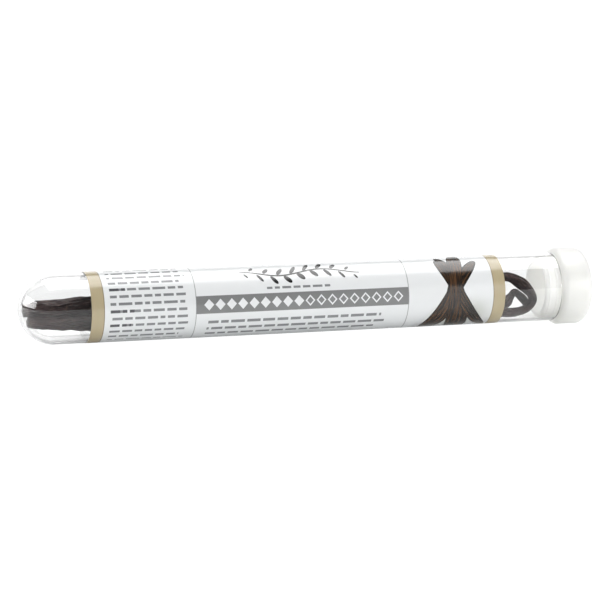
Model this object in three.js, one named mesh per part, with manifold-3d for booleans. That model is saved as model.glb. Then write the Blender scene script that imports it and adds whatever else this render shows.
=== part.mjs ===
// Vanilla pods in a clear plastic tube that lies on its side, closed with a push-in stopper.
// Millimetres, +Z up. The origin is on the surface that the tube lies on, below the middle of its length.

import * as THREE from 'three';
import { mergeVertices } from 'three/addons/utils/BufferGeometryUtils.js';
import Module from 'manifold-3d';

// ---- Driving dimensions -----------------------------------------------------------------------

const ROUND_SIDES = 48; // facets round the tube, the label and the stopper
const ARC_STEPS = 8; // facets along a quarter of a turn in a lathe profile

const TUBE_LENGTH = 200;
const TUBE_RADIUS = 12.5;
const TUBE_WALL = 1.2;

const LABEL_START = 23.3; // from the closed end
const LABEL_LENGTH = 154.1;
const LABEL_HEIGHT = 56; // round the tube, centred on its front, so that the back stays bare
const LABEL_RADIUS = 12.51;
const LABEL_PAPER = 0.12;
const CLEARANCE = 0.3; // kept between pieces that touch

const PLUG_LENGTH = 6.5;
const PLUG_RING_RISE = 0.2;
const PLUG_RING_WIDTH = 0.9;
const PLUG_RING_PLACES = [1.6, 4.4]; // middle of each sealing ring, from the plug's inner end
const PLUG_EDGE = 0.5; // lead-in at the plug's inner end
const HEAD_RADIUS = 14;
const HEAD_LENGTH = 11.6;
const HEAD_GAP = 0.4; // from the tube's rim to the head's front face
const HEAD_FRONT_ROUND = 2;
const HEAD_BACK_ROUND = 3;
const STOPPER_WALL = 1.7; // round the hollow inside the plug
const STOPPER_END = 3; // thickness behind the hollow

const REST_FLAT_DEPTH = 0.06; // how much a round piece is flattened where it touches the surface

const POD_SIDES = 24;
const POD_RINGS = 84;
const POD_RIDGES = 8; // lengthwise wrinkles round a pod
const POD_RIDGE_DEPTH = 0.075; // of the pod's half thickness
const POD_RIDGE_DRIFT = 5.5; // how far the wrinkles wander round the pod along its length, in radians
const POD_FLATNESS = 1.12; // a pod's width over its height

// Each pod's route: along the tube from its closed end, across it, above its axis, and half the pod's
// thickness there. A route starts at the blossom end and finishes at the tip of the hooked stem.
const UPPER_POD = [
  [1.5, 0.2, 0.0, 1.1],
  [2.1, 0.2, 0.0, 1.8],
  [4.5, 0.3, 0.1, 1.9],
  [6.6, 0.3, 0.3, 2.6],
  [14, 0.5, 0.4, 2.8],
  [30, 0.7, 0.9, 2.9],
  [70, 0.8, 0.2, 3.2],
  [110, 0.6, 0.1, 3.2],
  [145, 0.4, 1.4, 2.9],
  [165, 0.2, 3.1, 2.0],
  [176, -0.4, 4.0, 1.4],
  [183, -1.2, 4.2, 1.35],
  [186.5, -1.8, 2.7, 1.65],
  [189, -2.1, 0.5, 1.75],
  [191.5, -2.2, -2.1, 1.25],
  [192.6, -2.2, -4.4, 1.2],
  [191.4, -2.2, -6.8, 1.2],
  [188.2, -2.2, -8.4, 1.35],
  [183.5, -2.2, -8.7, 1.5],
  [177, -2.6, -8.3, 1.3],
  [174, -2.8, -8.1, 0.8],
];
const LOWER_POD = [
  [2.7, -0.4, -4.3, 0.9],
  [3.3, -0.4, -4.4, 1.5],
  [6, -0.5, -4.6, 2.0],
  [14, -0.6, -5.1, 2.5],
  [28, -0.8, -5.7, 2.7],
  [70, -0.8, -6.9, 3.1],
  [110, -0.6, -7.0, 3.2],
  [145, 0.2, -6.3, 2.9],
  [165, 1.0, -5.1, 2.4],
  [178, 1.6, -4.7, 2.1],
  [183.8, 1.8, -4.1, 2.2],
  [186.8, 1.9, -2.5, 1.7],
  [189, 1.9, -3.4, 1.3],
  [191.2, 1.9, -5.3, 1.2],
  [192.8, 1.9, -7.0, 0.8],
];

const COLOUR = {
  clearPlastic: 0xe8eef0,
  milkyPlastic: 0xf1f2ee,
  labelPaper: 0xe5e9ea,
  pod: 0x241b18,
};

// ---- Sizes worked out from them -----------------------------------------------------------------

const boreRadius = TUBE_RADIUS - TUBE_WALL;
const labelEnd = LABEL_START + LABEL_LENGTH;
const labelSeatRadius = LABEL_RADIUS - LABEL_PAPER - CLEARANCE;
const plugRadius = boreRadius - CLEARANCE - PLUG_RING_RISE;
const headFront = TUBE_LENGTH + HEAD_GAP;
const headBack = headFront + HEAD_LENGTH;
const plugEnd = headFront - PLUG_LENGTH;
const hollowRadius = plugRadius - STOPPER_WALL + PLUG_RING_RISE;
// The tube touches the surface below the middle of its domed end, and the stopper's head at its front.
const headRest = headFront + HEAD_FRONT_ROUND;
const tilt = Math.asin((HEAD_RADIUS - TUBE_RADIUS) / (headRest - TUBE_RADIUS));

// ---- Solids --------------------------------------------------------------------------------------

const wasm = await Module();
wasm.setup();

// Keeps only the places of the corners, joins the corners that coincide and drops empty triangles.
function weld(geometry) {
  geometry.deleteAttribute('normal');
  geometry.deleteAttribute('uv');
  const welded = mergeVertices(geometry);
  const corners = welded.index.array;
  const kept = [];
  for (let i = 0; i < corners.length; i += 3) {
    const [a, b, c] = corners.slice(i, i + 3);
    if (a !== b && b !== c && c !== a) kept.push(a, b, c);
  }
  welded.setIndex(kept);
  return welded;
}

function toSolid(geometry) {
  const welded = weld(geometry);
  return new wasm.Manifold(new wasm.Mesh({
    numProp: 3,
    vertProperties: new Float32Array(welded.attributes.position.array),
    triVerts: new Uint32Array(welded.index.array),
  }));
}

function toGeometry(solid) {
  const mesh = solid.getMesh();
  const geometry = new THREE.BufferGeometry();
  geometry.setAttribute('position', new THREE.BufferAttribute(mesh.vertProperties, 3));
  geometry.setIndex(new THREE.BufferAttribute(mesh.triVerts, 1));
  return geometry;
}

// ---- Lathe profiles ------------------------------------------------------------------------------

// Points of a lathe profile have x as the radius and y as the distance from the tube's closed end.
function arc(radius, centreOut, centreAlong, fromDegrees, toDegrees) {
  const points = [];
  for (let step = 0; step <= ARC_STEPS; step++) {
    const angle = THREE.MathUtils.degToRad(
      THREE.MathUtils.lerp(fromDegrees, toDegrees, step / ARC_STEPS));
    points.push(new THREE.Vector2(
      centreOut + radius * Math.sin(angle), centreAlong - radius * Math.cos(angle)));
  }
  return points;
}

function at(radius, along) {
  return new THREE.Vector2(radius, along);
}

// Turns a profile round the tube's axis, which is laid along +X.
function turned(profile) {
  return new THREE.LatheGeometry(profile, ROUND_SIDES).rotateZ(-Math.PI / 2);
}

// ---- Pieces --------------------------------------------------------------------------------------

function tubeGeometry() {
  const outside = arc(TUBE_RADIUS, 0, TUBE_RADIUS, 0, 90);
  const inside = arc(boreRadius, 0, TUBE_RADIUS, 90, 0);
  outside[0].x = 0;
  inside[ARC_STEPS].x = 0;
  return turned([
    ...outside,
    at(TUBE_RADIUS, TUBE_LENGTH),
    at(boreRadius, TUBE_LENGTH),
    ...inside,
  ]);
}

// A wedge from the tube's axis towards its back, as wide as the strip that a wrap leaves bare.
function backWedge(halfAngle) {
  const far = 2 * HEAD_RADIUS;
  const spread = far * Math.tan(halfAngle);
  const outline = new THREE.Shape([
    new THREE.Vector2(0, 0), new THREE.Vector2(far, -spread), new THREE.Vector2(far, spread)]);
  const wedge = new THREE.ExtrudeGeometry(outline, { depth: TUBE_LENGTH, bevelEnabled: false });
  return wedge.applyMatrix4(new THREE.Matrix4().makeBasis(
    new THREE.Vector3(0, 1, 0), new THREE.Vector3(0, 0, 1), new THREE.Vector3(1, 0, 0)));
}

// A sheet round the front of the tube, larger than the label all round by a margin.
function wrap(innerRadius, outerRadius, margin) {
  const start = LABEL_START - margin;
  const end = labelEnd + margin;
  const ring = turned([
    at(innerRadius, start),
    at(outerRadius, start),
    at(outerRadius, end),
    at(innerRadius, end),
    at(innerRadius, start),
  ]);
  const bareHalfAngle = Math.PI - (LABEL_HEIGHT / 2 + margin) / LABEL_RADIUS;
  return toSolid(ring).subtract(toSolid(backWedge(bareHalfAngle)));
}

function plugRing(place) {
  const middle = plugEnd + place;
  const half = PLUG_RING_WIDTH / 2;
  return [
    at(plugRadius, middle - half),
    at(plugRadius + PLUG_RING_RISE, middle),
    at(plugRadius, middle + half),
  ];
}

function stopperGeometry() {
  const hollowEnd = headBack - STOPPER_END;
  return turned([
    at(0, hollowEnd),
    at(hollowRadius, hollowEnd),
    at(hollowRadius, plugEnd),
    at(plugRadius - PLUG_EDGE, plugEnd),
    at(plugRadius, plugEnd + PLUG_EDGE),
    ...PLUG_RING_PLACES.flatMap(plugRing),
    at(plugRadius, headFront),
    ...arc(HEAD_FRONT_ROUND, HEAD_RADIUS - HEAD_FRONT_ROUND, headFront + HEAD_FRONT_ROUND, 0, 90),
    ...arc(HEAD_BACK_ROUND, HEAD_RADIUS - HEAD_BACK_ROUND, headBack - HEAD_BACK_ROUND, 90, 180),
    at(0, headBack),
  ]);
}

// A wrinkled body of changing thickness round a curved route: a sphere's rows of corners become the
// rings of the pod, and its two poles the ends.
function podGeometry(route) {
  const centreLine = new THREE.CatmullRomCurve3(
    route.map(([along, across, up]) => new THREE.Vector3(along, across, up)));
  const thickness = new THREE.CatmullRomCurve3(
    route.map((point) => new THREE.Vector3(point[3], 0, 0)), false, 'catmullrom');
  const sideways = new THREE.Vector3(0, 1, 0);
  const geometry = new THREE.SphereGeometry(1, POD_SIDES, POD_RINGS);
  const { position, uv } = geometry.attributes;
  for (let i = 0; i < position.count; i++) {
    const ring = Math.round((1 - uv.getY(i)) * POD_RINGS);
    const side = Math.round(uv.getX(i) * POD_SIDES) % POD_SIDES;
    const share = ring / POD_RINGS;
    // Half of the rings are spread by length and half by the route's points, which crowd in the hook.
    const t = (share + centreLine.getUtoTmapping(share)) / 2;
    const isEnd = ring === 0 || ring === POD_RINGS;
    const angle = -(side / POD_SIDES) * 2 * Math.PI;
    const ridge = Math.cos(POD_RIDGES * angle + POD_RIDGE_DRIFT * Math.sin(2 * Math.PI * share));
    const reach = isEnd ? 0 : thickness.getPoint(t).x * (1 + POD_RIDGE_DEPTH * ridge);
    const forward = centreLine.getTangent(t);
    const across = sideways.clone().addScaledVector(forward, -forward.y).normalize();
    const upward = forward.clone().cross(across);
    const corner = centreLine.getPoint(t)
      .addScaledVector(across, reach * POD_FLATNESS * Math.cos(angle))
      .addScaledVector(upward, reach * Math.sin(angle));
    position.setXYZ(i, corner.x, corner.y, corner.z);
  }
  return geometry;
}

// ---- The model -----------------------------------------------------------------------------------

function material(colour, roughness, opacity = 1) {
  return new THREE.MeshStandardMaterial({
    color: colour, roughness, metalness: 0, opacity, transparent: opacity < 1,
  });
}

function addPiece(group, name, geometry, finish) {
  const mesh = new THREE.Mesh(geometry, finish);
  mesh.name = name;
  group.add(mesh);
}

const lying = new THREE.Group();
lying.rotation.y = -tilt;
// A turned group raises the dome's middle by the sine of its slope, so the seat allows for that.
lying.position.z = TUBE_RADIUS - REST_FLAT_DEPTH - TUBE_RADIUS * Math.sin(tilt);
lying.updateMatrixWorld();

// The surface that the tube lies on, as a block in the lying group's own frame.
const surface = (() => {
  const depth = HEAD_RADIUS;
  const block = new THREE.BoxGeometry(3 * headBack, 4 * HEAD_RADIUS, depth);
  block.translate(0, 0, -depth / 2);
  block.applyMatrix4(lying.matrixWorld.clone().invert());
  return toSolid(block);
})();

function restingOnSurface(solid) {
  return toGeometry(solid.subtract(surface));
}

const label = wrap(LABEL_RADIUS - LABEL_PAPER, LABEL_RADIUS, 0);
// What the tube's wall leaves free for the label, cut out to beyond its outer face.
const labelSeat = wrap(labelSeatRadius, HEAD_RADIUS, CLEARANCE);

addPiece(lying, 'tube', restingOnSurface(toSolid(tubeGeometry()).subtract(labelSeat)),
  material(COLOUR.clearPlastic, 0.05, 0.3));
addPiece(lying, 'label', toGeometry(label), material(COLOUR.labelPaper, 0.3));
addPiece(lying, 'stopper', restingOnSurface(toSolid(stopperGeometry())),
  material(COLOUR.milkyPlastic, 0.35, 0.85));
addPiece(lying, 'pod_upper', weld(podGeometry(UPPER_POD)), material(COLOUR.pod, 0.35));
addPiece(lying, 'pod_lower', weld(podGeometry(LOWER_POD)), material(COLOUR.pod, 0.35));

const footprint = new THREE.Box3().setFromObject(lying, true);
lying.position.x = -(footprint.min.x + footprint.max.x) / 2;

const vanillaTube = new THREE.Group();
vanillaTube.add(lying);

export default vanillaTube;
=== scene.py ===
"""Vanilla pods in a clear plastic tube that lies on its side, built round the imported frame."""

import math

import bmesh
import bpy
from bpy.props import FloatProperty, FloatVectorProperty, IntProperty, PointerProperty
from mathutils import Matrix, Vector, noise


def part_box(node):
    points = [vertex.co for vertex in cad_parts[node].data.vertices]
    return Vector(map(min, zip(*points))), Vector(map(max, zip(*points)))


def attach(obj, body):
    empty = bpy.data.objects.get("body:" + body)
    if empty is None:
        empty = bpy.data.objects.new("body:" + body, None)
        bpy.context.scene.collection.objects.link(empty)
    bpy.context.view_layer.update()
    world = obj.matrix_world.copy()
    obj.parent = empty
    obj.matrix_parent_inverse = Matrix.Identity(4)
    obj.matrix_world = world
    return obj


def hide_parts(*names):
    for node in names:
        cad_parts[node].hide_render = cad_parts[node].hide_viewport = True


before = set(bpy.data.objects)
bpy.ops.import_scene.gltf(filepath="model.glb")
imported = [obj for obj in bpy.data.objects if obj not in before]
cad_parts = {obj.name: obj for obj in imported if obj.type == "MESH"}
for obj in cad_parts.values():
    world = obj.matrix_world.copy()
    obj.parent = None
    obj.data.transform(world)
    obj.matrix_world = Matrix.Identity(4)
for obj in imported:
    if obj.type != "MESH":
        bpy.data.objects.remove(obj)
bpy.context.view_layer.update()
BODY = "root"
MM = 0.001

bl_info = {
    "name": "Tube of vanilla pods",
    "version": (1, 0, 0),
    "blender": (4, 5, 0),
    "location": "View3D > Sidebar > Vanilla tube",
    "description": "Builds a clear tube of vanilla pods, its label, its stopper and a stage",
    "category": "Add Mesh",
}


def linear(hex_colour):
    """The linear colour, with alpha 1, of an sRGB hex value such as "#b3a57b"."""
    shares = [int(hex_colour[i:i + 2], 16) / 255 for i in (1, 3, 5)]
    return (*(c / 12.92 if c <= 0.04045 else ((c + 0.055) / 1.055) ** 2.4 for c in shares), 1.0)


def dimmed(colour, share):
    """A linear colour at a share of its brightness."""
    return (*(share * c for c in colour[:3]), 1.0)


# ---- Settings ------------------------------------------------------------------------------------


def length_setting(name, description, millimetres):
    return FloatProperty(name=name, description=description, default=millimetres * MM,
                         min=0.0, precision=5, unit="LENGTH")


def colour_setting(name, description, hex_colour):
    return FloatVectorProperty(name=name, description=description, default=linear(hex_colour),
                               size=4, min=0.0, max=1.0, subtype="COLOR")


class TubeSettings(bpy.types.PropertyGroup):
    length: length_setting("Length", "From the tip of the domed end to the rim", 200)
    radius: length_setting("Radius", "Outer radius", 12.5)
    wall: length_setting("Wall", "Thickness of the wall", 1.2)
    rim_round: length_setting("Rim rounding", "Rounding of the two edges of the rim", 0.35)
    rest_flat: length_setting("Flat", "How much a round piece is flattened where it rests", 0.06)


class LabelSettings(bpy.types.PropertyGroup):
    start: length_setting("Start", "From the tip of the domed end to the label", 23.3)
    length: length_setting("Length", "Along the tube", 154.1)
    thickness: length_setting("Thickness", "Thickness of the paper", 0.07)
    height: length_setting("Height", "Round the tube, centred on its front", 56)
    paper: colour_setting("Paper", "White of the coated paper", "#e9ebec")
    tan: colour_setting("Tan", "Ink of the two end bands", "#b7aa8b")
    tan_edge: colour_setting("Tan edge", "Ink of the thin line along each end band", "#8d826a")
    grey: colour_setting("Grey", "Ink of the band across the middle", "#828383")
    text: colour_setting("Text grey", "Ink of the small lines", "#86888a")
    bold: colour_setting("Bold grey", "Ink of the bold words", "#55565a")
    line: colour_setting("Line grey", "Ink of the lines between the panels", "#a9abab")
    black: colour_setting("Black", "Ink of the sprig", "#121213")
    brown: colour_setting("Brown", "Main ink of the drawn pods", "#150d08")
    rust: colour_setting("Rust", "Second ink of the drawn pods", "#6b4a2c")
    shadow: colour_setting("Shadow", "Ink of the drawn pods' shadow", "#aeb1a4")


class StopperSettings(bpy.types.PropertyGroup):
    plug_length: length_setting("Plug length", "How far the plug reaches into the tube", 6.5)
    head_radius: length_setting("Head radius", "Outer radius of the head", 14)
    head_length: length_setting("Head length", "Thickness of the head", 11.6)
    wall: length_setting("Wall", "Thickness of the plug's wall", 1.7)
    end: length_setting("End", "Thickness behind the hollow", 3)
    colour: colour_setting("Colour", "Milky plastic", "#eeeeec")


class PodSettings(bpy.types.PropertyGroup):
    sides: IntProperty(name="Sides", description="Corners round a pod", default=96, min=24, max=160)
    ring_gap: length_setting("Ring gap", "Distance between the rings of a pod", 0.42)
    dark: colour_setting("Dark", "Oily skin in the hollows", "#150a0a")
    skin: colour_setting("Skin", "Skin on the ridges", "#281918")
    dry: colour_setting("Dry", "Dry flecks on the skin", "#4e3a35")


class StageSettings(bpy.types.PropertyGroup):
    azimuth: FloatProperty(name="Azimuth", description="Camera's angle round the object",
                           default=math.radians(-17.94), subtype="ANGLE")
    elevation: FloatProperty(name="Elevation", description="Camera's angle above the horizon",
                             default=math.radians(6.651), subtype="ANGLE")
    distance: length_setting("Distance", "From the camera to what it looks at", 1012.4)
    lens: FloatProperty(name="Lens", description="Focal length on a 36 mm sensor, in millimetres",
                        default=169.17, unit="CAMERA")
    floor: colour_setting("Floor", "White acrylic sheet", "#e4e5e5")


class VanillaTubeSettings(bpy.types.PropertyGroup):
    tube: PointerProperty(type=TubeSettings)
    label: PointerProperty(type=LabelSettings)
    stopper: PointerProperty(type=StopperSettings)
    pods: PointerProperty(type=PodSettings)
    stage: PointerProperty(type=StageSettings)


# ---- The tube's own frame ------------------------------------------------------------------------

HEAD_GAP = 0.4 * MM  # from the tube's rim to the head's front face
HEAD_FRONT_ROUND = 2 * MM
HEAD_BACK_ROUND = 3 * MM


def lying_matrix(settings):
    """Takes points with X along the axis from the closed end to where the tube lies in the frame.

    The tube rests below the middle of its domed end, and on the front edge of the wider stopper."""
    tube, stopper = settings.tube, settings.stopper
    head_rest = tube.length + HEAD_GAP + HEAD_FRONT_ROUND
    tilt = math.asin((stopper.head_radius - tube.radius) / (head_rest - tube.radius))
    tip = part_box("tube")[0].x
    dome_middle = Vector((tip + tube.radius, 0, tube.radius - tube.rest_flat))
    return (Matrix.Translation(dome_middle) @ Matrix.Rotation(-tilt, 4, "Y")
            @ Matrix.Translation((-tube.radius, 0, 0)))


# ---- Making meshes -------------------------------------------------------------------------------

SAME_PLACE = 1e-6  # metres within which two points count as one
CORNER_STEP = 5  # degrees between the points of a rounded corner, which has three steps or more
LATHE_SIDES = 192


def finish_piece(piece, material, node_names, sharp_degrees=35):
    """Smooths a piece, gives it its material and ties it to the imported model."""
    mesh = piece.data
    mesh.shade_smooth()
    mesh.set_sharp_from_angle(angle=math.radians(sharp_degrees))
    mesh.materials.append(material)
    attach(piece, BODY)
    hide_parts(*node_names)


def mesh_object(name, bm, matrix):
    """Turns a bmesh in the tube's own frame into a linked object, flattened where it rests."""
    bmesh.ops.recalc_face_normals(bm, faces=bm.faces)
    bm.transform(matrix)
    for vertex in bm.verts:
        vertex.co.z = max(vertex.co.z, 0.0)
    mesh = bpy.data.meshes.new(name)
    bm.to_mesh(mesh)
    bm.free()
    piece = bpy.data.objects.new(name, mesh)
    bpy.context.scene.collection.objects.link(piece)
    return piece


def rounded(corners):
    """The points of a lathe profile: each corner is (out, along, rounding radius)."""
    points = []
    for i, (out, along, radius) in enumerate(corners):
        corner = Vector((out, along))
        if radius == 0:
            arc = [corner]
        else:
            back = (Vector(corners[i - 1][:2]) - corner).normalized()
            on = (Vector(corners[i + 1][:2]) - corner).normalized()
            half = back.angle(on) / 2
            middle = corner + (back + on).normalized() * (radius / math.sin(half))
            first = corner + back * (radius / math.tan(half)) - middle
            turn = math.copysign(math.pi - 2 * half, first.cross(-back))
            steps = max(3, round(abs(math.degrees(turn)) / CORNER_STEP))
            arc = [middle + Matrix.Rotation(turn * step / steps, 2) @ first
                   for step in range(steps + 1)]
        for point in arc:
            if not points or (point - points[-1]).length > SAME_PLACE:
                points.append(point)
    return points


def join_rings(bm, rings, sides):
    """Makes the faces between rings that follow each other. A ring of one corner closes an end."""
    for near, far in zip(rings, rings[1:]):
        for side in range(sides):
            on = (side + 1) % sides
            corners = [near[side % len(near)], near[on % len(near)], far[on % len(far)],
                       far[side % len(far)]]
            bm.faces.new(dict.fromkeys(corners))


def lathe(profile):
    """A closed bmesh of revolution about X from a profile that starts and ends on the axis."""
    bm = bmesh.new()
    rings = []
    for out, along in profile:
        if out < SAME_PLACE:
            rings.append([bm.verts.new((along, 0, 0))])
            continue
        ring = []
        for side in range(LATHE_SIDES):
            angle = 2 * math.pi * side / LATHE_SIDES
            ring.append(bm.verts.new((along, out * math.sin(angle), -out * math.cos(angle))))
        rings.append(ring)
    join_rings(bm, rings, LATHE_SIDES)
    return bm


# ---- Making materials ----------------------------------------------------------------------------


def new_material(name):
    """An empty node material with its output, as (material, node tree, output's surface socket)."""
    material = bpy.data.materials.new(name)
    material.use_nodes = True
    tree = material.node_tree
    tree.nodes.clear()
    return material, tree, tree.nodes.new("ShaderNodeOutputMaterial").inputs["Surface"]


def add(tree, kind, *inputs, **settings):
    """Adds a node and gives its first output. Inputs are values or sources in the order of the
    node's sockets, or pairs of a socket's name and one of these; settings are the node's own."""
    node = tree.nodes.new("ShaderNode" + kind)
    for name, value in settings.items():
        setattr(node, name, value)
    for place, given in enumerate(inputs):
        named = isinstance(given, tuple) and isinstance(given[0], str)
        socket, value = given if named else (place, given)
        if isinstance(value, bpy.types.NodeSocket):
            tree.links.new(value, node.inputs[socket])
        else:
            node.inputs[socket].default_value = value
    return next((output for output in node.outputs if output.enabled), None)


# ---- The clear tube ------------------------------------------------------------------------------


def clear_polystyrene():
    """Crystal polystyrene, injection moulded and polished: clear as glass, with sharp reflections
    that waver a little where the melt flowed and cooled."""
    material, tree, surface = new_material("polystyrene_clear_moulded")
    place = add(tree, "TexCoord").node.outputs["Object"]
    flow_width = 14 * MM
    flow = add(tree, "TexNoise", ("Vector", place), ("Scale", 1 / flow_width), ("Detail", 1.0))
    wave = add(tree, "Bump", ("Height", flow), ("Strength", 0.25), ("Distance", 0.02 * MM))
    shader = add(tree, "BsdfPrincipled", ("Base Color", (1, 1, 1, 1)), ("Roughness", 0.012),
                 ("IOR", 1.52), ("Transmission Weight", 1.0), ("Normal", wave))
    # Lamps shine through the wall, less where they graze it: the tube's shadow has thin edges.
    clear_share = 0.91  # of a lamp's light, where it goes straight through a face of the wall
    grazing = add(tree, "LayerWeight", 0.5).node.outputs["Facing"]
    grazing = add(tree, "Math", grazing, 5.0, operation="POWER")
    passed = add(tree, "Math", grazing, -clear_share, clear_share, operation="MULTIPLY_ADD")
    passed = add(tree, "BsdfTransparent", passed)
    for_lamps = add(tree, "LightPath").node.outputs["Is Shadow Ray"]
    tree.links.new(add(tree, "MixShader", for_lamps, shader, passed), surface)
    return material


def make_tube(settings):
    tube = settings.tube
    bore = tube.radius - tube.wall
    profile = rounded([
        (0, 0, 0),
        (tube.radius, 0, tube.radius),
        (tube.radius, tube.length, tube.rim_round),
        (bore, tube.length, tube.rim_round),
        (bore, tube.wall, bore),
        (0, tube.wall, 0),
    ])
    piece = mesh_object("clear_tube", lathe(profile), lying_matrix(settings))
    finish_piece(piece, clear_polystyrene(), ["tube"])


# ---- The stopper ---------------------------------------------------------------------------------

PLUG_CLEARANCE = 0.02 * MM  # between the sealing rings and the bore
PLUG_RING_RISE = 0.3 * MM
PLUG_RING_WIDTH = 0.9 * MM
PLUG_RING_PLACES = (1.6 * MM, 4.4 * MM)  # from the plug's inner end


def natural_polyethylene(colour):
    """Low-density polyethylene, injection moulded in its natural milky white: light goes a few
    millimetres into it, so it glows softly and its own edges stay faint."""
    material, tree, surface = new_material("polyethylene_natural_moulded")
    place = add(tree, "TexCoord").node.outputs["Object"]
    grain_width = 0.6 * MM  # the mould's matt texture, finer in fact, drawn so coarse that it shows
    grain = add(tree, "TexNoise", ("Vector", place), ("Scale", 1 / grain_width), ("Detail", 3.0))
    cloud_width = 9 * MM  # milkier and clearer places, from the flow of the melt
    cloud = add(tree, "TexNoise", ("Vector", place), ("Scale", 1 / cloud_width), ("Detail", 2.0))
    roughness = add(tree, "MapRange", ("Value", cloud), ("To Min", 0.28), ("To Max", 0.42))
    tone = add(tree, "Mix", ("Factor", cloud), ("A", dimmed(colour, 0.985)), ("B", tuple(colour)),
               data_type="RGBA")
    relief = add(tree, "Bump", ("Height", grain), ("Strength", 0.15), ("Distance", 0.02 * MM))
    shader = add(tree, "BsdfPrincipled", ("Base Color", tone), ("Roughness", roughness),
                 ("IOR", 1.51), ("Subsurface Weight", 1.0),
                 ("Subsurface Radius", (1.0, 1.0, 0.95)), ("Subsurface Scale", 6 * MM),
                 ("Transmission Weight", 0.4), ("Normal", relief))
    # Part of the lamps' light goes through each face, as it does through thin milky plastic.
    milky_share = (0.62, 0.62, 0.61, 1)
    passed = add(tree, "BsdfTransparent", milky_share)
    for_lamps = add(tree, "LightPath").node.outputs["Is Shadow Ray"]
    tree.links.new(add(tree, "MixShader", for_lamps, shader, passed), surface)
    return material


def make_stopper(settings):
    tube, stopper = settings.tube, settings.stopper
    bore = tube.radius - tube.wall
    head_front = tube.length + HEAD_GAP
    head_back = head_front + stopper.head_length
    plug_end = head_front - stopper.plug_length
    plug = bore - PLUG_CLEARANCE - PLUG_RING_RISE
    hollow = plug - stopper.wall
    hollow_end = head_back - stopper.end
    corners = [
        (0, hollow_end, 0),
        (hollow, hollow_end, 1.0 * MM),
        (hollow, plug_end, 0.4 * MM),
        (plug, plug_end, 0.7 * MM),
    ]
    for place in PLUG_RING_PLACES:
        middle = plug_end + place
        corners += [
            (plug, middle - PLUG_RING_WIDTH / 2, 0.15 * MM),
            (plug + PLUG_RING_RISE, middle, 0.25 * MM),
            (plug, middle + PLUG_RING_WIDTH / 2, 0.15 * MM),
        ]
    corners += [
        (plug, head_front, 0.2 * MM),
        (stopper.head_radius, head_front, HEAD_FRONT_ROUND),
        (stopper.head_radius, head_back, HEAD_BACK_ROUND),
        (0, head_back, 0),
    ]
    piece = mesh_object("stopper_finish", lathe(rounded(corners)), lying_matrix(settings))
    finish_piece(piece, natural_polyethylene(stopper.colour), ["stopper"])


# ---- The label -----------------------------------------------------------------------------------

# Places on the label are in millimetres: across is from the label's left edge, and up is round the
# tube from the line that faces the front.
LABEL_BAND = 4.65
BAND_LINE = 0.3  # along the inner edge of each end band
PANEL_LINES = (37.6, 116.8)
PANEL_LINE_HALF = 0.16
PANEL_REACH = 26  # how far up and down the panels' lines and the picture go
GREY_BAND = (-2.7, 3.6)
# Each block of small print: left, right, bottom, top, row pitch, bar height, word length and seed.
SMALL_PRINT = (
    (6.7, 35.5, -13.5, 19.0, 2.6, 0.95, 4.2, 3.1),
    (42.0, 113.0, -13.4, -4.6, 2.93, 1.15, 5.0, 8.4),
    (63.9, 89.5, 4.2, 6.8, 2.6, 0.85, 3.6, 5.2),
)
# The rows of the first block that start in bold, each with the end of its bold words.
BOLD_ROWS = ((4, 13.0), (7, 16.0), (9, 15.0))
BOLD_HEIGHT = 1.05
WORD_GAP = 0.45
# Each row of lozenges: left, right, pitch and hollow share.
LOZENGE_ROWS = (
    (40.2, 77.55, 4.15, 0.0),
    (77.55, 114.9, 4.15, 0.66),
)
# Each drawn pod: middle, degrees from level, half length, half width and bend.
DRAWN_PODS = (
    ((132.0, -2.0), 57, 20.0, 2.3, 0.8),
    ((136.6, -1.0), 104, 19.0, 2.2, -0.9),
    ((133.6, 0.5), 72, 19.0, 2.4, -0.6),
    ((137.4, -1.5), 122, 18.0, 2.1, 0.7),
    ((134.6, 0.0), 88, 18.5, 2.3, 0.5),
)
LABEL_CLEARANCE = 0.005 * MM  # between the label and the tube


def block(tree, across, up, left, right, bottom, top):
    """1 inside a rectangle of the label."""
    columns = add(tree, "Math", across, (left + right) / 2, (right - left) / 2, operation="COMPARE")
    rows = add(tree, "Math", up, (bottom + top) / 2, (top - bottom) / 2, operation="COMPARE")
    return add(tree, "Math", columns, rows, operation="MULTIPLY")


def small_print(tree, across, up, left, right, bottom, top, pitch, height, word, seed):
    """Rows of plain bars as long as words, in place of small print, as masks to multiply."""
    row_shift = 37.7  # along the pattern of words, from one row to the next
    ragged_share = 0.12  # of the block's width, by which a row may end early
    down = add(tree, "Math", top, up, operation="SUBTRACT")
    down = add(tree, "Math", down, pitch, operation="DIVIDE")
    row = add(tree, "Math", down, operation="FLOOR")
    in_row = add(tree, "Math", down, operation="FRACT")
    bar = add(tree, "Math", in_row, 0.5, height / pitch / 2, operation="COMPARE")
    row_start = add(tree, "Math", row, row_shift, seed, operation="MULTIPLY_ADD")
    along_row = add(tree, "Math", across, row_start, operation="ADD")
    gaps = add(tree, "TexVoronoi", ("W", along_row), ("Scale", 1 / word), ("Randomness", 0.9),
               voronoi_dimensions="1D", feature="DISTANCE_TO_EDGE")
    words = add(tree, "Math", gaps, WORD_GAP / word, operation="GREATER_THAN")
    row_draw = add(tree, "TexWhiteNoise", ("W", row_start), noise_dimensions="1D")
    row_end = add(tree, "Math", row_draw, -ragged_share * (right - left), right,
                  operation="MULTIPLY_ADD")
    row_end = add(tree, "Math", across, row_end, operation="LESS_THAN")
    return block(tree, across, up, left, right, bottom, top), bar, words, row_end


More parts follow.
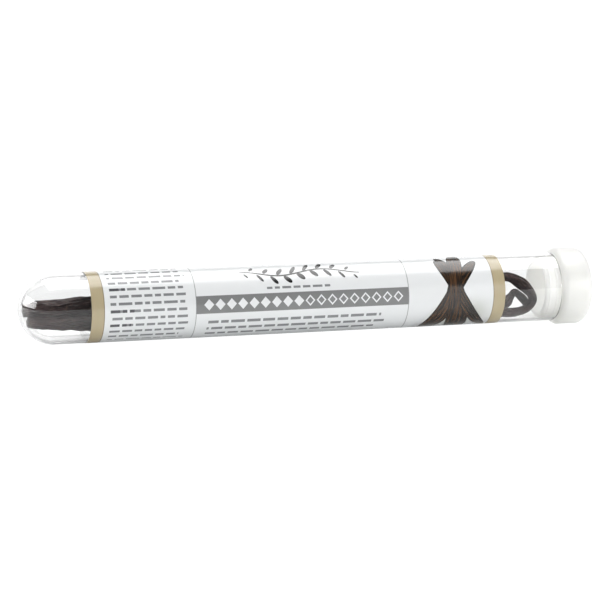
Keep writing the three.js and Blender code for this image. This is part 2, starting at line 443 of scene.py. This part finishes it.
def lozenges(tree, across, up, left, right, pitch, inner):
    """A row of lozenges along the grey band, as masks to multiply. Each is hollow up to a share."""
    middle, half_height, half_gap = sum(GREY_BAND) / 2, 2.0, 0.25
    aside = add(tree, "Math", across, left, operation="SUBTRACT")
    aside = add(tree, "Math", aside, pitch / 2, operation="PINGPONG")
    aside = add(tree, "Math", pitch / 2, aside, operation="SUBTRACT")
    aside = add(tree, "Math", aside, pitch / 2 - half_gap, operation="DIVIDE")
    rise = add(tree, "Math", up, middle, operation="SUBTRACT")
    rise = add(tree, "Math", rise, operation="ABSOLUTE")
    reach = add(tree, "Math", rise, 1 / half_height, aside, operation="MULTIPLY_ADD")
    shape = add(tree, "Math", reach, (inner + 1) / 2, (1 - inner) / 2, operation="COMPARE")
    return shape, block(tree, across, up, left, right, *GREY_BAND)


def sprig(tree, across, up):
    """A drawn sprig above the grey band, as shapes: a wavy stem, then the leaves on each side."""
    middle, half_length, height, pitch = 77.2, 23.0, 11.6, 5.1
    wave_length, wave_height = 31, 1.3
    stem_half, stem_end_half, drawn_share = 0.3, 0.08, 0.96
    leaf_middle, leaf_lean, leaf_half = (0.15, 1.9), math.radians(52), (2.1, 0.85, 1)
    aside = add(tree, "Math", across, middle, operation="SUBTRACT")
    wave = add(tree, "Math", aside, 2 * math.pi / wave_length, operation="MULTIPLY")
    wave = add(tree, "Math", wave, operation="SINE")
    stem = add(tree, "Math", wave, wave_height, height, operation="MULTIPLY_ADD")
    rise = add(tree, "Math", up, stem, operation="SUBTRACT")
    share = add(tree, "Math", aside, half_length, operation="DIVIDE")
    swell = add(tree, "Math", share, share, operation="MULTIPLY")
    swell = add(tree, "Math", 1.0, swell, use_clamp=True, operation="SUBTRACT")
    swell = add(tree, "Math", swell, operation="SQRT")
    width = add(tree, "Math", swell, stem_half, stem_end_half, operation="MULTIPLY_ADD")
    stem = add(tree, "Math", rise, 0.0, width, operation="COMPARE")
    field = add(tree, "Math", share, 0.0, drawn_share, operation="COMPARE")
    shapes = [(stem, field)]
    for side, phase in ((1, 0.0), (-1, 0.5)):
        count = add(tree, "Math", aside, 1 / pitch, phase, operation="MULTIPLY_ADD")
        near = add(tree, "Math", count, operation="FRACT")
        near = add(tree, "Math", near, pitch, -pitch / 2, operation="MULTIPLY_ADD")
        spot = add(tree, "CombineXYZ", near, rise)
        leaf = add(tree, "Mapping", spot, ("Location", (leaf_middle[0], side * leaf_middle[1], 0)),
                   ("Rotation", (0, 0, side * leaf_lean)), ("Scale", leaf_half),
                   vector_type="TEXTURE")
        size = add(tree, "VectorMath", leaf, operation="LENGTH").node.outputs["Value"]
        shapes.append((add(tree, "Math", size, swell, operation="LESS_THAN"), field))
    return shapes


def drawn_pod(tree, label, place, middle, degrees, half_length, half_width, bend):
    """One drawn pod, as (mask, colour): long, bent and pointed, with streaks along it."""
    streaks_along, streaks_aside = 1.3, 3.4  # how many there are in half a pod, more or less
    turned = add(tree, "Mapping", place, ("Location", (*middle, 0)),
                 ("Rotation", (0, 0, math.radians(degrees))),
                 ("Scale", (half_length, half_width, 1)), vector_type="TEXTURE")
    along = add(tree, "SeparateXYZ", turned)
    aside = along.node.outputs["Y"]
    square = add(tree, "Math", along, along, operation="MULTIPLY")
    bent = add(tree, "Math", square, bend, aside, operation="MULTIPLY_ADD")
    ends = add(tree, "Math", square, 1.3, operation="POWER")
    size = add(tree, "CombineXYZ", ends, bent)
    size = add(tree, "VectorMath", size, operation="LENGTH").node.outputs["Value"]
    mask = add(tree, "Math", size, 1.0, operation="LESS_THAN")
    lane = add(tree, "CombineXYZ", along, bent, float(degrees))
    lane = add(tree, "Mapping", lane, ("Scale", (streaks_along, streaks_aside, 1)))
    streaks = add(tree, "TexNoise", ("Vector", lane), ("Scale", 1.0), ("Detail", 5.0),
                  ("Roughness", 0.65))
    streaks = add(tree, "MapRange", streaks, ("From Min", 0.45), ("From Max", 0.68))
    edge = add(tree, "MapRange", size, ("From Min", 1.0), ("From Max", 0.7))
    streaks = add(tree, "Math", streaks, edge, operation="MULTIPLY")
    return mask, add(tree, "Mix", ("Factor", streaks), ("A", tuple(label.brown)),
                     ("B", tuple(label.rust)), data_type="RGBA")


def coated_paper(label):
    """Label paper, offset printed and laminated with a gloss film: the film mirrors the lights over
    a soft white, and the inks lie flat under it."""
    material, tree, surface = new_material("coated_paper_printed")
    place = add(tree, "Attribute", attribute_name="print_place").node.outputs["Vector"]
    across = add(tree, "SeparateXYZ", place)
    up = across.node.outputs["Y"]
    inner_face = across.node.outputs["Z"]
    clouds_in_millimetre = 0.09  # whiter and greyer places of the paper
    cloud = add(tree, "TexNoise", ("Vector", place), ("Scale", clouds_in_millimetre),
                ("Detail", 2.0))
    printed = add(tree, "Mix", ("Factor", cloud), ("A", dimmed(label.paper, 0.975)),
                  ("B", tuple(label.paper)), data_type="RGBA")

    def panel_block(start, end, bottom=-PANEL_REACH, top=PANEL_REACH):
        return block(tree, across, up, start, end, bottom, top)

    shade_middle, shade_lean, shade_half = (137.0, -8.5, 0), math.radians(14), (17, 9, 1)
    shade_share, picture_gap = 0.75, 0.2
    shade = add(tree, "Mapping", place, ("Location", shade_middle),
                ("Rotation", (0, 0, shade_lean)), ("Scale", shade_half), vector_type="TEXTURE")
    shade = add(tree, "VectorMath", shade, operation="LENGTH").node.outputs["Value"]
    shade = add(tree, "MapRange", shade, ("From Min", 0.1), ("From Max", 1.0),
                ("To Min", shade_share), ("To Max", 0.0), interpolation_type="SMOOTHSTEP")
    left, right = PANEL_LINES
    length = label.length / MM
    picture = panel_block(right + picture_gap, length - LABEL_BAND)
    shapes = [(label.shadow, shade, picture)]
    for line in PANEL_LINES:
        shapes.append((label.line, panel_block(line - PANEL_LINE_HALF, line + PANEL_LINE_HALF)))
    for rows in SMALL_PRINT:
        shapes.append((label.text, *small_print(tree, across, up, *rows)))
    start, _, _, top, pitch, _, *pattern = SMALL_PRINT[0]
    for row, end in BOLD_ROWS:
        row_top = top - pitch * row
        shapes.append((label.bold, *small_print(tree, across, up, start, end, row_top - pitch,
                                                row_top, pitch, BOLD_HEIGHT, *pattern)))
    for shape in sprig(tree, across, up):
        shapes.append((label.black, *shape))
    shapes.append((label.grey, panel_block(left, right, *GREY_BAND)))
    for row in LOZENGE_ROWS:
        shapes.append((label.paper, *lozenges(tree, across, up, *row)))
    for pod in DRAWN_PODS:
        mask, skin = drawn_pod(tree, label, place, *pod)
        shapes.append((skin, mask, picture))
    past_edge, all_round = 1, (-99, 99)
    for start, end, inner in ((-past_edge, LABEL_BAND, LABEL_BAND - BAND_LINE),
                              (length - LABEL_BAND, length + past_edge, length - LABEL_BAND)):
        shapes.append((label.tan, panel_block(start, end, *all_round)))
        shapes.append((label.tan_edge, panel_block(inner, inner + BAND_LINE, *all_round)))
    shapes.append((label.paper, inner_face))
    for colour, mask, *others in shapes:
        for other in others:
            mask = add(tree, "Math", mask, other, operation="MULTIPLY")
        source = colour if isinstance(colour, bpy.types.NodeSocket) else tuple(colour)
        printed = add(tree, "Mix", ("Factor", mask), ("A", printed), ("B", source),
                      data_type="RGBA")

    fibre_width = 0.35  # millimetres: finer in real paper, drawn so coarse that they show
    fibres = add(tree, "TexNoise", ("Vector", place), ("Scale", 1 / fibre_width), ("Detail", 3.0))
    roughness = add(tree, "MapRange", ("Value", fibres), ("To Min", 0.17), ("To Max", 0.23))
    relief = add(tree, "Bump", ("Height", fibres), ("Strength", 0.05), ("Distance", 0.01 * MM))
    shader = add(tree, "BsdfPrincipled", ("Base Color", printed), ("Roughness", roughness),
                 ("IOR", 1.5), ("Subsurface Weight", 0.5), ("Subsurface Radius", (1.0, 1.0, 1.0)),
                 ("Subsurface Scale", 0.12 * MM), ("Coat Weight", 0.75), ("Coat IOR", 1.5),
                 ("Coat Roughness", 0.2), ("Normal", relief))
    tree.links.new(shader, surface)
    return material


def make_label(settings):
    """A sheet of paper wrapped round the tube's front, which leaves a strip of its back bare."""
    tube, label = settings.tube, settings.label
    across_steps, round_steps = 80, 180
    seat = tube.radius + LABEL_CLEARANCE
    bm = bmesh.new()
    place_layer = bm.verts.layers.float_vector.new("print_place")
    sheets = []
    for radius, inner_face in ((seat + label.thickness, 0), (seat, 1)):
        rows = []
        for j in range(round_steps + 1):
            up = label.height * (j / round_steps - 0.5)
            angle = up / tube.radius
            row = []
            for i in range(across_steps + 1):
                across = label.length * i / across_steps
                vertex = bm.verts.new((label.start + across, -radius * math.cos(angle),
                                       radius * math.sin(angle)))
                vertex[place_layer] = (across / MM, up / MM, inner_face)
                row.append(vertex)
            rows.append(row)
        sheets.append(rows)
    outer, inner = sheets
    for sheet in sheets:
        for near, far in zip(sheet, sheet[1:]):
            for i in range(across_steps):
                bm.faces.new((near[i], near[i + 1], far[i + 1], far[i]))
    for i in (0, across_steps):
        for j in range(round_steps):
            bm.faces.new((outer[j][i], outer[j + 1][i], inner[j + 1][i], inner[j][i]))
    for j in (0, round_steps):
        for i in range(across_steps):
            bm.faces.new((outer[j][i], outer[j][i + 1], inner[j][i + 1], inner[j][i]))
    piece = mesh_object("label_finish", bm, lying_matrix(settings))
    finish_piece(piece, coated_paper(label), ["label"])


# ---- The pods ------------------------------------------------------------------------------------

# Each pod's route, in millimetres, from its blossom end to the tip of its hooked stem: along the
# tube from its closed end, across it, above its axis, and half the pod's thickness there.
UPPER_POD = (
    (1.45, 0.2, -0.3, 1.6),
    (2.0, 0.2, -0.3, 1.9),
    (4.5, 0.3, -0.1, 1.9),
    (6.6, 0.3, 0.05, 2.5),
    (14, 0.5, 0.1, 2.65),
    (30, 0.7, 0.6, 3.0),
    (70, 0.8, 0.2, 3.2),
    (110, 0.6, 0.1, 3.2),
    (145, 0.4, 1.4, 2.9),
    (165, 0.2, 3.1, 2.0),
    (176, -0.4, 4.0, 1.4),
    (183, -1.2, 4.1, 1.4),
    (186.5, -1.8, 2.4, 1.85),
    (188.9, -2.1, 0.5, 1.75),
    (191.2, -2.2, -2.0, 1.35),
    (191.9, -2.2, -4.4, 1.25),
    (190.4, -2.2, -6.7, 1.2),
    (187.3, -2.2, -8.2, 1.2),
    (182.5, -2.2, -8.6, 1.35),
    (177, -2.6, -8.2, 1.3),
    (174, -2.8, -8.1, 0.8),
)
LOWER_POD = (
    (2.85, -0.4, -3.9, 1.3),
    (3.4, -0.4, -4.0, 1.7),
    (6, -0.5, -4.3, 2.0),
    (14, -0.6, -4.8, 2.45),
    (28, -0.8, -5.1, 2.85),
    (70, -0.8, -6.9, 3.1),
    (110, -0.6, -7.0, 3.2),
    (145, 0.2, -6.3, 2.9),
    (165, 1.0, -5.1, 2.4),
    (178, 1.6, -5.4, 1.9),
    (182.6, 1.8, -5.4, 1.85),
    (184.6, 1.85, -3.6, 1.15),
    (186.3, 1.9, -1.75, 0.95),
    (188.1, 1.9, -3.0, 1.1),
    (189.8, 1.9, -4.7, 1.3),
    (191.0, 1.9, -6.7, 0.9),
)
POD_FLATNESS = 1.12  # a pod's width over its height
PLUMPNESS = 0.18  # millimetres by which a pod is thicker than its route says
WRINKLED_FROM = 2.4  # half a thickness in millimetres, below which the wrinkles get lower
LEAST_HALF = 0.2  # millimetres
GRAIN_LENGTH = 14  # millimetres of pod for one unit of its grain's pattern


def spline(points, t, power):
    """A point on a Catmull-Rom curve through points, at t from 0 to 1. A power of 0.5 spaces the
    knots by the root of the distance, which keeps tight bends round, and 0 spaces them alike."""
    place = t * (len(points) - 1)
    i = min(int(place), len(points) - 2)
    share = place - i
    b, c = points[i], points[i + 1]
    a = points[i - 1] if i else 2 * b - c
    d = points[i + 2] if i + 2 < len(points) else 2 * c - b
    least_gap = 1e-6
    gaps = [max((q - p).length, least_gap) ** power for p, q in ((a, b), (b, c), (c, d))]
    leave = (b - a) / gaps[0] - (c - a) / (gaps[0] + gaps[1]) + (c - b) / gaps[1]
    arrive = (c - b) / gaps[1] - (d - b) / (gaps[1] + gaps[2]) + (d - c) / gaps[2]
    leave, arrive = leave * gaps[1], arrive * gaps[1]
    square, cube = share * share, share ** 3
    return ((2 * cube - 3 * square + 1) * b + (cube - 2 * square + share) * leave
            + (3 * square - 2 * cube) * c + (cube - square) * arrive)


def even_places(points, gap):
    """Values of t that lie the same distance apart along a curve."""
    samples = 2000
    total, lengths, last = 0.0, [0.0], spline(points, 0, 0.5)
    for i in range(1, samples + 1):
        here = spline(points, i / samples, 0.5)
        total += (here - last).length
        lengths.append(total)
        last = here
    count = round(total / gap)
    places, i = [], 0
    for step in range(count + 1):
        target = total * step / count
        while i < samples - 1 and lengths[i + 1] < target:
            i += 1
        places.append((i + (target - lengths[i]) / (lengths[i + 1] - lengths[i])) / samples)
    return places, total


def wrinkles(angle, along, seed):
    """How far the skin rises, in millimetres: folds that run along a pod and wander round it."""
    wander = 1.6 * noise.noise(Vector((along / 42, seed, 0)))
    turned = angle + wander
    spot = Vector((math.cos(turned), math.sin(turned), 0))

    def waves(fineness, *shift):
        return noise.noise(spot * fineness + Vector(shift))

    def folds(fineness, *shift):
        return 1 - 2 * abs(waves(fineness, *shift)) - 0.5

    # Each kind has its height, its fineness round the pod and, below along, its length.
    broad = 0.3 * waves(1.3, 0, seed, along / 30)
    deep = 0.36 * folds(2.9, seed, 0, along / 24)
    fine = 0.22 * folds(6.5, 0, seed, along / 11)
    lumps = 0.26 * waves(1.4, 0, along / 2.4, seed)
    pits = 0.1 * waves(9, seed, 0, along / 1.6)
    return broad + deep + fine + lumps + pits


def cured_pod(pods):
    """Cured vanilla pod: near-black, leathery and oily, with brown showing on the dry ridges and a
    soft broken shine along its fine wrinkles."""
    material, tree, surface = new_material("vanilla_pod_cured")
    grain = add(tree, "Attribute", attribute_name="pod_grain").node.outputs["Vector"]
    place = add(tree, "TexCoord").node.outputs["Object"]
    # Two patterns run along the pod: streaks 5 mm long and 1 mm wide, and grooves 4 mm long and
    # 0.8 mm wide.
    streaks = add(tree, "TexNoise", ("Vector", grain), ("Scale", 2.8), ("Detail", 5.0),
                  ("Roughness", 0.6))
    grooves = add(tree, "TexNoise", ("Vector", grain), ("Scale", 3.4), ("Detail", 1.5))
    fleck_width = 1.1 * MM
    flecks = add(tree, "TexNoise", ("Vector", place), ("Scale", 1 / fleck_width), ("Detail", 4.0))
    skin = add(tree, "MapRange", streaks, ("From Min", 0.42), ("From Max", 0.62))
    colour = add(tree, "Mix", ("Factor", skin), ("A", tuple(pods.dark)), ("B", tuple(pods.skin)),
                 data_type="RGBA")
    dry = add(tree, "MapRange", flecks, ("From Min", 0.55), ("From Max", 0.66), ("To Max", 0.7))
    colour = add(tree, "Mix", ("Factor", dry), ("A", colour), ("B", tuple(pods.dry)),
                 data_type="RGBA")
    pore_width = 0.25 * MM  # finer in the real skin, drawn as coarse as it needs to show
    pores = add(tree, "TexNoise", ("Vector", place), ("Scale", 1 / pore_width), ("Detail", 2.0))
    roughness = add(tree, "MapRange", streaks, ("To Min", 0.26), ("To Max", 0.5))
    pore_share = 0.06  # of a groove's depth
    height = add(tree, "Math", pores, pore_share, grooves, operation="MULTIPLY_ADD")
    relief = add(tree, "Bump", ("Height", height), ("Strength", 1.0), ("Distance", 0.8 * MM))
    shader = add(tree, "BsdfPrincipled", ("Base Color", colour), ("Roughness", roughness),
                 ("IOR", 1.45), ("Specular IOR Level", 0.4), ("Specular Tint", (1.0, 0.9, 0.88, 1)),
                 ("Normal", relief))
    tree.links.new(shader, surface)
    return material


def pod_mesh(route, pods, seed):
    """A wrinkled body of changing thickness round a curved route, in the tube's own frame."""
    centres = [Vector(point[:3]) for point in route]
    halves = [Vector((point[3], 0, 0)) for point in route]
    places, total = even_places(centres, pods.ring_gap / MM)
    step = 1e-4
    bm = bmesh.new()
    grain_layer = bm.verts.layers.float_vector.new("pod_grain")
    rings = []
    for ring, t in enumerate(places):
        share = ring / (len(places) - 1)
        centre = spline(centres, t, 0.5)
        behind, ahead = max(t - step, 0), min(t + step, 1)
        forward = (spline(centres, ahead, 0.5) - spline(centres, behind, 0.5)).normalized()
        across = (Vector((0, 1, 0)) - forward * forward.y).normalized()
        upward = forward.cross(across)
        half = spline(halves, t, 0).x
        along = share * total
        tip = 1.0 if 0 < ring < len(places) - 1 else 0.0
        corners = []
        for side in range(pods.sides if tip else 1):
            angle = 2 * math.pi * side / pods.sides
            rise = PLUMPNESS + wrinkles(angle, along, seed) * min(1.0, half / WRINKLED_FROM)
            reach = tip * max(half + rise, LEAST_HALF)
            corner = (centre + across * (reach * POD_FLATNESS * math.cos(angle))
                      + upward * (reach * math.sin(angle)))
            vertex = bm.verts.new(corner * MM)
            vertex[grain_layer] = (math.cos(angle), math.sin(angle), along / GRAIN_LENGTH + seed)
            corners.append(vertex)
        rings.append(corners)
    join_rings(bm, rings, pods.sides)
    return bm


def make_pods(settings):
    skin = cured_pod(settings.pods)
    for name, node, route, seed in (("upper_pod_finish", "pod_upper", UPPER_POD, 3.7),
                                    ("lower_pod_finish", "pod_lower", LOWER_POD, 8.3)):
        piece = mesh_object(name, pod_mesh(route, settings.pods, seed), lying_matrix(settings))
        finish_piece(piece, skin, [node], sharp_degrees=180)


# ---- The stage -----------------------------------------------------------------------------------

FLOOR_RADIUS = 40.0
FLOOR_SIDES = 96
BACKDROP_DISTANCE = 4.0
BACKDROP_LEFT, BACKDROP_RIGHT = -2.2, 3
BACKDROP_BOTTOM, BACKDROP_TOP = 0.001, 3.1
# Each softbox: name, place, what it faces, or None for straight down, width, height and radiance.
SOFTBOXES = (
    ("overhead_softbox", (0.9, 0.64, 3.0), None, 3.7, 3.05, 3.15),
    ("left_softbox", (-1.8, 0.35, 0.46), (0, 0, 0.1), 1.8, 0.68, 6.2),
    ("right_softbox", (1.47, -1.735, 0.363), (0, 0, 0.02), 0.9, 0.7, 17.4),
)
BACKDROP_GLOW = 1.22
ROOM_GLOW = 0.09  # on the pieces
ROOM_SEEN = 1.1  # behind them
LOOK_AT = Vector((-2.96, 0, 12.27)) * MM


def white_acrylic(colour):
    """Matt white acrylic sheet, exposed to plain white, so that it keeps a mere trace of shadow."""
    material, tree, surface = new_material("acrylic_white_matt")
    sheet = add(tree, "BsdfPrincipled", ("Base Color", tuple(colour)), ("Roughness", 0.5),
                ("Emission Color", tuple(colour)), ("Emission Strength", 0.1))
    white_glow, white_share = 1.45, 0.9  # the plain white, and its share of what the camera sees
    white = add(tree, "Emission", tuple(colour), white_glow)
    seen = add(tree, "LightPath").node.outputs["Is Camera Ray"]
    share = add(tree, "Math", seen, white_share, operation="MULTIPLY")
    tree.links.new(add(tree, "MixShader", share, sheet, white), surface)
    return material


def lit_paper(strength):
    """A roll of white background paper with its own lights on it, evenly bright."""
    material, tree, surface = new_material("background_paper_lit")
    tree.links.new(add(tree, "Emission", (1, 1, 1, 1), strength), surface)
    return material


def add_sheet(name, corners, material):
    """A flat sheet of the stage."""
    mesh = bpy.data.meshes.new(name)
    mesh.from_pydata(corners, [], [range(len(corners))])
    mesh.materials.append(material)
    sheet = bpy.data.objects.new(name, mesh)
    bpy.context.scene.collection.objects.link(sheet)


def add_softbox(name, place, target, width, height, radiance):
    """A rectangular lamp of even brightness that faces its target, or straight down without one."""
    lamp = bpy.data.lights.new(name, "AREA")
    lamp.shape = "RECTANGLE"
    lamp.size = width
    lamp.size_y = height
    lamp.energy = radiance * math.pi * width * height
    holder = bpy.data.objects.new(name, lamp)
    holder.location = place
    if target:
        facing = Vector(target) - Vector(place)
        holder.rotation_euler = facing.to_track_quat("-Z", "Y").to_euler()
    bpy.context.scene.collection.objects.link(holder)


def make_stage(settings):
    stage = settings.stage
    scene = bpy.context.scene
    scene.view_settings.view_transform = "Standard"

    spokes = [2 * math.pi * i / FLOOR_SIDES for i in range(FLOOR_SIDES)]
    edge = [(FLOOR_RADIUS * math.cos(a), FLOOR_RADIUS * math.sin(a), 0) for a in spokes]
    add_sheet("floor", edge, white_acrylic(stage.floor))
    add_sheet("backdrop", [(BACKDROP_LEFT, BACKDROP_DISTANCE, BACKDROP_BOTTOM),
                           (BACKDROP_RIGHT, BACKDROP_DISTANCE, BACKDROP_BOTTOM),
                           (BACKDROP_RIGHT, BACKDROP_DISTANCE, BACKDROP_TOP),
                           (BACKDROP_LEFT, BACKDROP_DISTANCE, BACKDROP_TOP)],
              lit_paper(BACKDROP_GLOW))

    world = bpy.data.worlds.new("studio")
    world.use_nodes = True
    tree = world.node_tree
    tree.nodes.clear()
    seen = add(tree, "LightPath").node.outputs["Is Camera Ray"]
    light = add(tree, "MapRange", seen, ("To Min", ROOM_GLOW), ("To Max", ROOM_SEEN))
    room = add(tree, "Background", (1, 1, 1, 1), light)
    tree.links.new(room, tree.nodes.new("ShaderNodeOutputWorld").inputs["Surface"])
    scene.world = world

    for softbox in SOFTBOXES:
        add_softbox(*softbox)

    camera = bpy.data.cameras.new("camera")
    camera.sensor_width = 36
    camera.lens = stage.lens
    camera.clip_start = 0.05
    camera.clip_end = 200
    eye = bpy.data.objects.new("camera", camera)
    back = Vector((math.sin(stage.azimuth) * math.cos(stage.elevation),
                   -math.cos(stage.azimuth) * math.cos(stage.elevation), math.sin(stage.elevation)))
    eye.location = LOOK_AT + back * stage.distance
    eye.rotation_euler = (-back).to_track_quat("-Z", "Y").to_euler()
    scene.collection.objects.link(eye)
    scene.camera = eye


# ---- Operators, panel and registration -----------------------------------------------------------


class VANILLA_OT_tube(bpy.types.Operator):
    """Add the clear tube"""

    bl_idname = "vanilla.tube"
    bl_label = "Clear tube"

    def execute(self, context):
        make_tube(context.scene.vanilla_tube)
        return {"FINISHED"}


class VANILLA_OT_label(bpy.types.Operator):
    """Add the wrapped label"""

    bl_idname = "vanilla.label"
    bl_label = "Label"

    def execute(self, context):
        make_label(context.scene.vanilla_tube)
        return {"FINISHED"}


class VANILLA_OT_stopper(bpy.types.Operator):
    """Add the stopper"""

    bl_idname = "vanilla.stopper"
    bl_label = "Stopper"

    def execute(self, context):
        make_stopper(context.scene.vanilla_tube)
        return {"FINISHED"}


class VANILLA_OT_pods(bpy.types.Operator):
    """Add the two vanilla pods"""

    bl_idname = "vanilla.pods"
    bl_label = "Vanilla pods"

    def execute(self, context):
        make_pods(context.scene.vanilla_tube)
        return {"FINISHED"}


class VANILLA_OT_stage(bpy.types.Operator):
    """Add the floor, the lights and the camera"""

    bl_idname = "vanilla.stage"
    bl_label = "Stage"

    def execute(self, context):
        make_stage(context.scene.vanilla_tube)
        return {"FINISHED"}


class VANILLA_PT_sidebar(bpy.types.Panel):
    """Lists the settings and the pieces"""

    bl_label = "Vanilla tube"
    bl_idname = "VANILLA_PT_sidebar"
    bl_space_type = "VIEW_3D"
    bl_region_type = "UI"
    bl_category = "Vanilla tube"

    def draw(self, context):
        settings = context.scene.vanilla_tube
        for part, operator in PIECES:
            box = self.layout.box()
            group = getattr(settings, part)
            for name in group.bl_rna.properties.keys():
                if name not in ("rna_type", "name"):
                    box.prop(group, name)
            box.operator(operator)


PIECES = (
    ("tube", "vanilla.tube"),
    ("label", "vanilla.label"),
    ("stopper", "vanilla.stopper"),
    ("pods", "vanilla.pods"),
    ("stage", "vanilla.stage"),
)
CLASSES = (
    TubeSettings,
    LabelSettings,
    StopperSettings,
    PodSettings,
    StageSettings,
    VanillaTubeSettings,
    VANILLA_OT_tube,
    VANILLA_OT_label,
    VANILLA_OT_stopper,
    VANILLA_OT_pods,
    VANILLA_OT_stage,
    VANILLA_PT_sidebar,
)


def register():
    for cls in CLASSES:
        bpy.utils.register_class(cls)
    bpy.types.Scene.vanilla_tube = PointerProperty(type=VanillaTubeSettings)


def unregister():
    del bpy.types.Scene.vanilla_tube
    for cls in reversed(CLASSES):
        bpy.utils.unregister_class(cls)


def main():
    register()
    bpy.ops.vanilla.tube()
    bpy.ops.vanilla.label()
    bpy.ops.vanilla.stopper()
    bpy.ops.vanilla.pods()
    bpy.ops.vanilla.stage()


if __name__ == "__main__":
    main()
